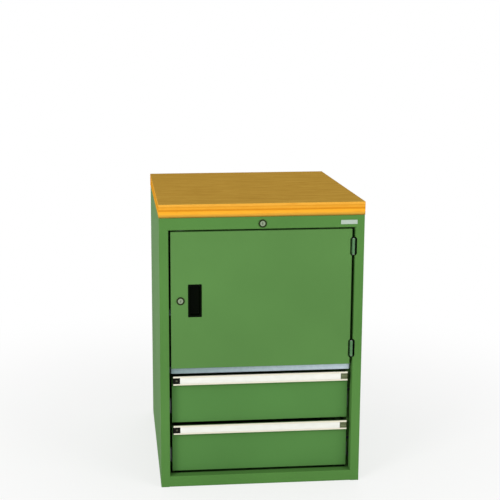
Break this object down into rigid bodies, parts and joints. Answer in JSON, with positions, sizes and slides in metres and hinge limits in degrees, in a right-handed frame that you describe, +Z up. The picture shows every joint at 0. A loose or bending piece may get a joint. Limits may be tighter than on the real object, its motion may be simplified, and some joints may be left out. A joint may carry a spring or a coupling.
{
  "type": "drawer cabinet",
  "caption": "Steel workshop cabinet with a wooden worktop, a hinged cupboard door, telescopic drawers with label handles and a central lock.",
  "frame": {"origin": "centre of the footprint's width and of the body's depth, on the floor", "axes": "+X to the right seen from the front, +Y to the back, +Z up; the door and the drawers face -Y"},
  "size_m": [0.602, 0.6524, 0.86],
  "materials": {
    "frame_paint": "semi-gloss green powder coat",
    "door_paint": "semi-gloss green powder coat",
    "drawer_paint": "semi-gloss green powder coat",
    "galvanised": "galvanised sheet",
    "zinc_steel": "zinc-plated",
    "hinge_steel": "dark zinc-plated",
    "handle_metal": "anodised, satin",
    "label_white": "matt, blank",
    "plate_metal": "satin, blank",
    "cap_black": "moulded",
    "cap_olive": "moulded, ribbed",
    "grip_black": "moulded",
    "guide_plastic": "moulded",
    "lock_chrome": "polished",
    "worktop_wood": "oiled laminated board",
    "bumper_rubber": "matt"
  },
  "bodies": {
    "cabinet": {"left_side_panel": "frame_paint", "right_side_panel": "frame_paint", "back_panel": "frame_paint", "top_panel": "frame_paint", "base_panel": "frame_paint", "header_rail": "frame_paint", "plinth_rail": "frame_paint", "uprights": "frame_paint", "worktop": "worktop_wood", "worktop_screws": "zinc_steel", "name_plate": "plate_metal", "divider_shelf": "galvanised", "cupboard_shelf": "galvanised", "outer_rails": "zinc_steel", "shelf_clips": "zinc_steel", "door_stops": "zinc_steel", "crank_bracket": "zinc_steel", "hinge_pins": "zinc_steel", "central_lock_nut": "zinc_steel", "hinge_frame_leaves": "hinge_steel", "central_lock_housing": "lock_chrome", "bar_guides": "guide_plastic"},
    "door": {"door_panel": "door_paint", "door_stiffener": "door_paint", "grip_cup": "grip_black", "door_lock_housing": "lock_chrome", "door_lock_nut": "zinc_steel", "hinge_door_leaves": "hinge_steel", "door_bumpers": "bumper_rubber"},
    "door_lock": {"door_lock_rotor": "lock_chrome", "door_lock_cam": "zinc_steel"},
    "central_lock": {"central_lock_rotor": "lock_chrome", "central_lock_cam": "zinc_steel"},
    "transfer_link": {"transfer_bar": "zinc_steel"},
    "crank": {"bell_crank": "zinc_steel"},
    "lock_bar": {"locking_bar": "zinc_steel"},
    "lower_drawer": {"lower_tray": "drawer_paint", "lower_catch": "zinc_steel", "lower_front": "drawer_paint", "lower_screws": "zinc_steel", "lower_handle": "handle_metal", "lower_label": "label_white", "lower_end_cap_left": "cap_black", "lower_end_cap_right": "cap_olive", "lower_inner_rails": "zinc_steel"},
    "lower_middle": {"lower_middle_rails": "zinc_steel"},
    "lower_outer_cage": {"lower_outer_cages": "zinc_steel"},
    "lower_inner_cage": {"lower_inner_cages": "zinc_steel"},
    "upper_drawer": {"upper_tray": "drawer_paint", "upper_catch": "zinc_steel", "upper_front": "drawer_paint", "upper_screws": "zinc_steel", "upper_handle": "handle_metal", "upper_label": "label_white", "upper_end_cap_left": "cap_black", "upper_end_cap_right": "cap_olive", "upper_inner_rails": "zinc_steel"},
    "upper_middle": {"upper_middle_rails": "zinc_steel"},
    "upper_outer_cage": {"upper_outer_cages": "zinc_steel"},
    "upper_inner_cage": {"upper_inner_cages": "zinc_steel"}
  },
  "joints": [
    {"name": "door_hinge", "type": "hinge", "parent": "cabinet", "child": "door", "pos_m": [0.2685, -0.322, 0.575], "axis": [0, 0, 1], "range_deg": [0, 110]},
    {"name": "door_lock_turn", "type": "hinge", "parent": "door", "child": "door_lock", "pos_m": [-0.239, -0.32, 0.5744], "axis": [0, 1, 0], "range_deg": [0, 90]},
    {"name": "central_lock_turn", "type": "hinge", "parent": "cabinet", "child": "central_lock", "pos_m": [0, -0.32, 0.8], "axis": [0, -1, 0], "range_deg": [0, 90]},
    {"name": "transfer_slide", "type": "slide", "parent": "cabinet", "child": "transfer_link", "axis": [1, 0, 0], "range_m": [0, 0.01131]},
    {"name": "crank_turn", "type": "hinge", "parent": "cabinet", "child": "crank", "pos_m": [0.26911, -0.286, 0.807], "axis": [0, -1, 0], "range_deg": [0, 44.32]},
    {"name": "locking_bar_slide", "type": "slide", "parent": "cabinet", "child": "lock_bar", "axis": [0, 0, 1], "range_m": [0, 0.01131]},
    {"name": "lower_drawer_slide", "type": "slide", "parent": "cabinet", "child": "lower_drawer", "axis": [0, -1, 0], "range_m": [0, 0.52]},
    {"name": "lower_middle_slide", "type": "slide", "parent": "cabinet", "child": "lower_middle", "axis": [0, -1, 0], "range_m": [0, 0.26]},
    {"name": "lower_outer_cage_slide", "type": "slide", "parent": "cabinet", "child": "lower_outer_cage", "axis": [0, -1, 0], "range_m": [0, 0.13]},
    {"name": "lower_inner_cage_slide", "type": "slide", "parent": "cabinet", "child": "lower_inner_cage", "axis": [0, -1, 0], "range_m": [0, 0.39]},
    {"name": "upper_drawer_slide", "type": "slide", "parent": "cabinet", "child": "upper_drawer", "axis": [0, -1, 0], "range_m": [0, 0.52]},
    {"name": "upper_middle_slide", "type": "slide", "parent": "cabinet", "child": "upper_middle", "axis": [0, -1, 0], "range_m": [0, 0.26]},
    {"name": "upper_outer_cage_slide", "type": "slide", "parent": "cabinet", "child": "upper_outer_cage", "axis": [0, -1, 0], "range_m": [0, 0.13]},
    {"name": "upper_inner_cage_slide", "type": "slide", "parent": "cabinet", "child": "upper_inner_cage", "axis": [0, -1, 0], "range_m": [0, 0.39]}
  ],
  "couplings": [
    {"joint": "transfer_slide", "follows": "locking_bar_slide", "ratio": 1},
    {"joint": "crank_turn", "follows": "locking_bar_slide", "rad_per_m": 68.357},
    {"joint": "central_lock_turn", "follows": "locking_bar_slide", "rad_per_m": 138.84},
    {"joint": "lower_middle_slide", "follows": "lower_drawer_slide", "ratio": 0.5},
    {"joint": "lower_outer_cage_slide", "follows": "lower_drawer_slide", "ratio": 0.25},
    {"joint": "lower_inner_cage_slide", "follows": "lower_drawer_slide", "ratio": 0.75},
    {"joint": "upper_middle_slide", "follows": "upper_drawer_slide", "ratio": 0.5},
    {"joint": "upper_outer_cage_slide", "follows": "upper_drawer_slide", "ratio": 0.25},
    {"joint": "upper_inner_cage_slide", "follows": "upper_drawer_slide", "ratio": 0.75}
  ]
}
